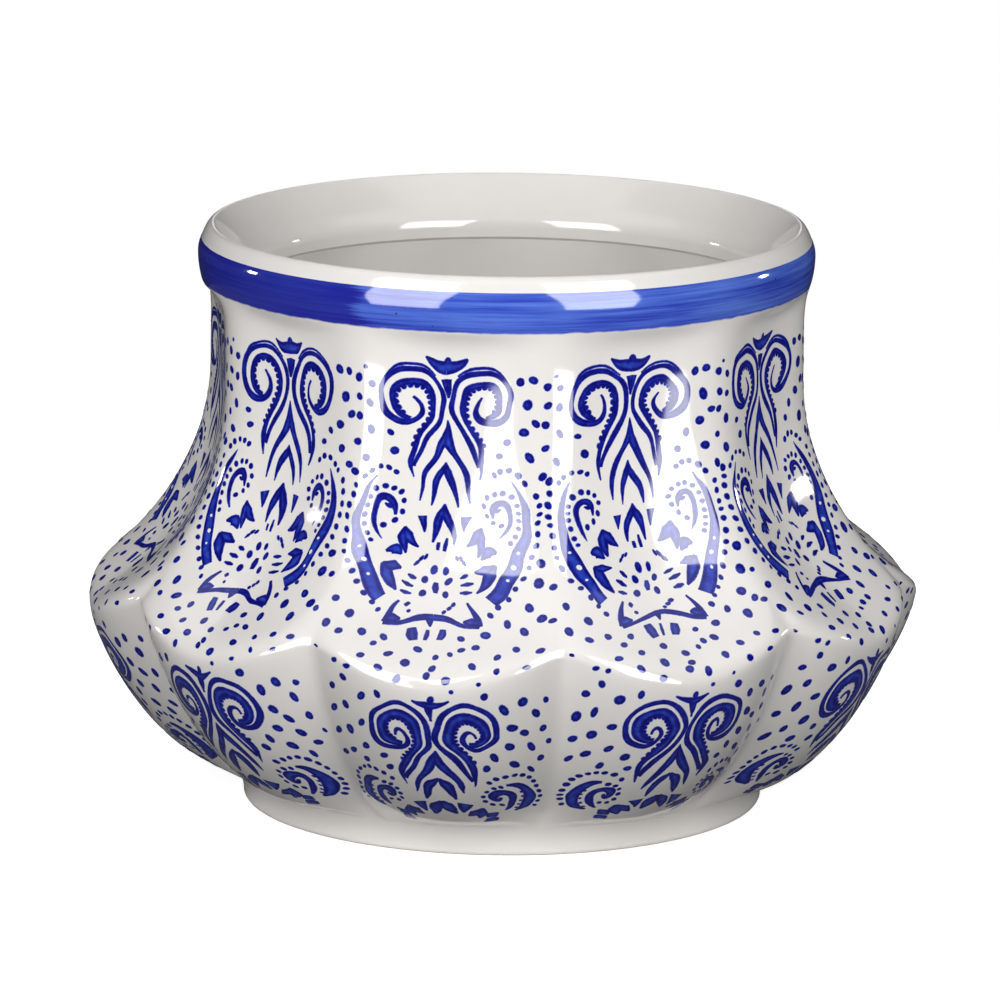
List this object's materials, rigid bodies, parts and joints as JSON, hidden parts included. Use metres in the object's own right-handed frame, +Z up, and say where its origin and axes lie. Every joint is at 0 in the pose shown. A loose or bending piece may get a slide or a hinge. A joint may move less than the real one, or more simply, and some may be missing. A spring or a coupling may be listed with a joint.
{
  "type": "vase",
  "caption": "Squat lobed ceramic vase with scooped neck panels, a round painted collar, a wide open mouth and a plain foot ring to stand on.",
  "frame": {"origin": "centre of the foot's flat resting face", "axes": "+Z up along the vase's axis, -Y through the middle of one petal"},
  "size_m": [0.2306, 0.2346, 0.1645],
  "materials": {
    "white_glaze": "clear gloss glaze over a warm grey-white body",
    "ornament_glaze": "clear gloss glaze over a warm grey-white body with cobalt blue ornament in low relief",
    "cobalt_band": "brushed cobalt blue under the same clear gloss glaze"
  },
  "bodies": {
    "root": {"foot_ring": "white_glaze", "floor_disc": "white_glaze", "lower_body": "ornament_glaze", "upper_body": "ornament_glaze", "throat_ring": "white_glaze", "collar_band": "cobalt_band", "lip_ring": "white_glaze"}
  },
  "joints": []
}
